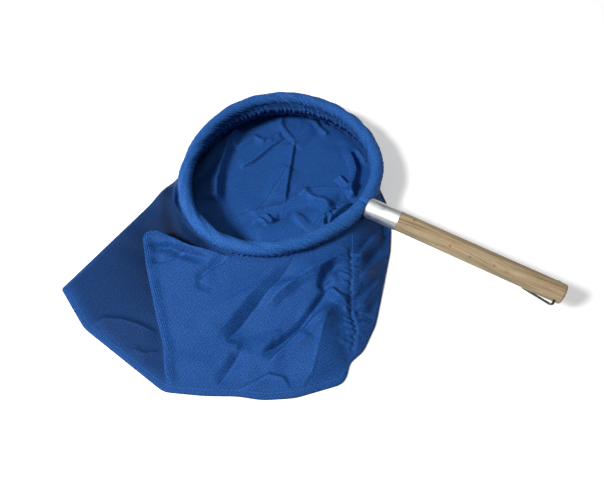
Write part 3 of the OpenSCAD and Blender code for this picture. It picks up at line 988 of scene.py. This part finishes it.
def make_casing():
    """The cloth tube round the rim."""
    angle, turn = np.meshgrid(np.arange(AROUND) / AROUND * 2 * math.pi,
                              np.arange(SECTION_STEPS) / SECTION_STEPS * 2 * math.pi, indexing="ij")
    turn = turn + seam_section(angle)
    points = casing_points(angle, turn).reshape(-1, 3)
    uv = np.stack([angle * RING, (turn - seam_section(angle)) * TUBE, 0 * angle], -1).reshape(-1, 3) * MM
    faces = grid_faces(AROUND, SECTION_STEPS, True, True)
    off = (turn - seam_section(angle) + math.pi) % (2 * math.pi) - math.pi
    # Painted shade: the grooves between the gathers are painted darker, most at the back and towards the
    # stitched edge.
    shade = np.clip(0.5 - 0.3 * gather_wave(angle, off), 0, 1)
    painted_shading = 1.25 - 0.85 * gathers(angle, off) * shade
    return make_piece("rim_casing_cloth", [at(*p) for p in points], faces, "casing_cloth", uv, painted_shading)


def make_rim_core():
    """The bent wire with its two legs in the ferrule, and the foam round it."""
    open_angle = math.radians(2.2)
    angles = np.linspace(open_angle, 2 * math.pi - open_angle, 240)
    ring = np.column_stack([ring_points(angles, ring_radius(angles)), np.full(len(angles), HOOP_Z)])
    foam = sweep("rim_foam", ring[3:-3], TUBE - 2.9, "foam", 20)
    leg = [(x, 3.2, HOOP_Z) for x in np.linspace(NOSE_X + 34, NOSE_X, 8)]
    back = [(x, -y, z) for x, y, z in reversed(leg)]
    wire = sweep("hoop_wire_bent", leg + [tuple(p) for p in ring] + back, 2.0, "hoop_steel", 12)
    return foam, wire


# ---------------------------------------------------------------- stitches
def dash_mesh(name, stitches, radius, slot):
    """Thread dashes: each a small six-sided spindle between two points."""
    points, faces = [], []
    turn = np.linspace(0, 2 * math.pi, 6, endpoint=False)
    for a, b in stitches:
        a, b = np.array(a, float), np.array(b, float)
        d = (b - a) / np.linalg.norm(b - a)
        side = np.cross(d, [0, 0, 1.0])
        side /= np.linalg.norm(side)
        up = np.cross(side, d)
        base = len(points)
        for share, width in ((0, 0.35), (0.18, 1), (0.82, 1), (1, 0.35)):
            for t in turn:
                out = math.cos(t) * side + math.sin(t) * up
                points.append(a + (b - a) * share + radius * width * out)
        faces += [tuple(base + i for i in f) for f in grid_faces(4, 6, wrap_columns=True)]
        faces += [tuple(base + i for i in range(6)), tuple(base + 18 + i for i in reversed(range(6)))]
    return make_piece(name, [at(*p) for p in points], faces, slot)


STITCH_PITCH = 3.6
STITCH_LENGTH = 2.5
THREAD_RADIUS = 0.36


def casing_stitches():
    """Dashes along both faces of the casing's seam."""
    stitches = []
    count = int(2 * math.pi * RING / STITCH_PITCH)
    half = STITCH_LENGTH / 2 / RING
    for k in range(count):
        a = (k + 0.5) / count * 2 * math.pi
        if abs((a + math.pi) % (2 * math.pi) - math.pi) < math.radians(3):
            continue
        for face in (-1, 1):
            ends = np.array([a - half, a + half])
            turn = seam_section(ends) + face * math.radians(11)
            stitches.append(casing_points(ends, turn, -0.1))
    return dash_mesh("casing_stitching", stitches, THREAD_RADIUS, "thread")


def cast_down(piece):
    """A function from a plan point to the highest point of a piece below the rim's seam there, in
    millimetres."""
    mesh = piece.data
    tree = BVHTree.FromPolygons([v.co.copy() for v in mesh.vertices],
                                [tuple(p.vertices) for p in mesh.polygons])

    def find(x, y):
        hit = tree.ray_cast(at(x, y, HOOP_Z - TUBE - 2), Vector((0, 0, -1)))[0]
        return None if hit is None else (x, y, (hit.z - HOOP.z) / MM)
    return find


def laid_stitches(name, line, find):
    """Dashes along a plan polyline, laid on the cloth under it."""
    path = np.array(line, float)
    run = distances(path)
    stitches = []
    for s in np.arange(2, run[-1] - 4, STITCH_PITCH):
        ends = [find(*p) for p in walk(path, run, np.array([s, s + STITCH_LENGTH]))]
        if None not in ends:
            stitches.append([(x, y, z + 0.15) for x, y, z in ends])
    return dash_mesh(name, stitches, THREAD_RADIUS, "thread")


# ---------------------------------------------------------------- build
bag = make_bag()
casing = make_casing()
foam, wire = make_rim_core()
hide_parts("bag_panel")
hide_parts("rim_casing")
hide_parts("rim_padding")
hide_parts("hoop_wire")
rim_thread = casing_stitches()
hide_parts("casing_stitches")
find = cast_down(bag)
seam_thread = laid_stitches("side_seam_stitching", [(x + 3, y + 1) for x, y in SEAM_LINE], find)
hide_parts("side_seam_stitches")
hem_line = [tuple(p * (1 - 7 / np.linalg.norm(p))) for p in OUTLINE[::6]
            if 241 < math.degrees(math.atan2(p[1], p[0])) % 360 < 316]
hem_line.sort(key=lambda p: math.atan2(p[1], p[0]) % (2 * math.pi))
hem_thread = laid_stitches("bottom_seam_stitching", hem_line, find)
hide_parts("bottom_seam_stitches")

for node, slot in (("handle_dowel", "wood"), ("ferrule", "alloy"), ("hanging_loop", "loop_steel")):
    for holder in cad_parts[node].material_slots:
        holder.material = MATERIALS[slot]


# ---------------------------------------------------------------- floor and light
def make_floor():
    """A wide plain floor just under the bag."""
    size = 6.0
    mesh = bpy.data.meshes.new("floor")
    corners = [(-size, -size, 0), (size, -size, 0), (size, size, 0), (-size, size, 0)]
    mesh.from_pydata(corners, [], [(0, 1, 2, 3)])
    mesh.materials.append(floor_material())
    floor = bpy.data.objects.new("floor", mesh)
    bpy.context.scene.collection.objects.link(floor)


def area_light(name, place, aim, size, power):
    """A square soft light, aimed at a point."""
    data = bpy.data.lights.new(name, "AREA")
    data.energy = power
    data.size = size
    light = bpy.data.objects.new(name, data)
    light.location = place
    light.rotation_euler = (Vector(place) - Vector(aim)).to_track_quat("Z", "Y").to_euler()
    bpy.context.scene.collection.objects.link(light)


def make_light():
    """White surroundings, a soft key light from the front left and a wide one overhead."""
    world = bpy.data.worlds.new("studio")
    bpy.context.scene.world = world
    world.use_nodes = True
    background = next(n for n in world.node_tree.nodes if n.type == "BACKGROUND")
    background.inputs["Color"].default_value = (1, 1, 1, 1)
    background.inputs["Strength"].default_value = 0.16
    area_light("key", (-0.75, -1.05, 1.45), (0, 0, 0), 0.40, 48)
    area_light("top", (0.2, 0.2, 1.9), (0, 0, 0), 0.9, 6)


make_floor()
make_light()
bpy.context.scene.view_settings.view_transform = "Standard"
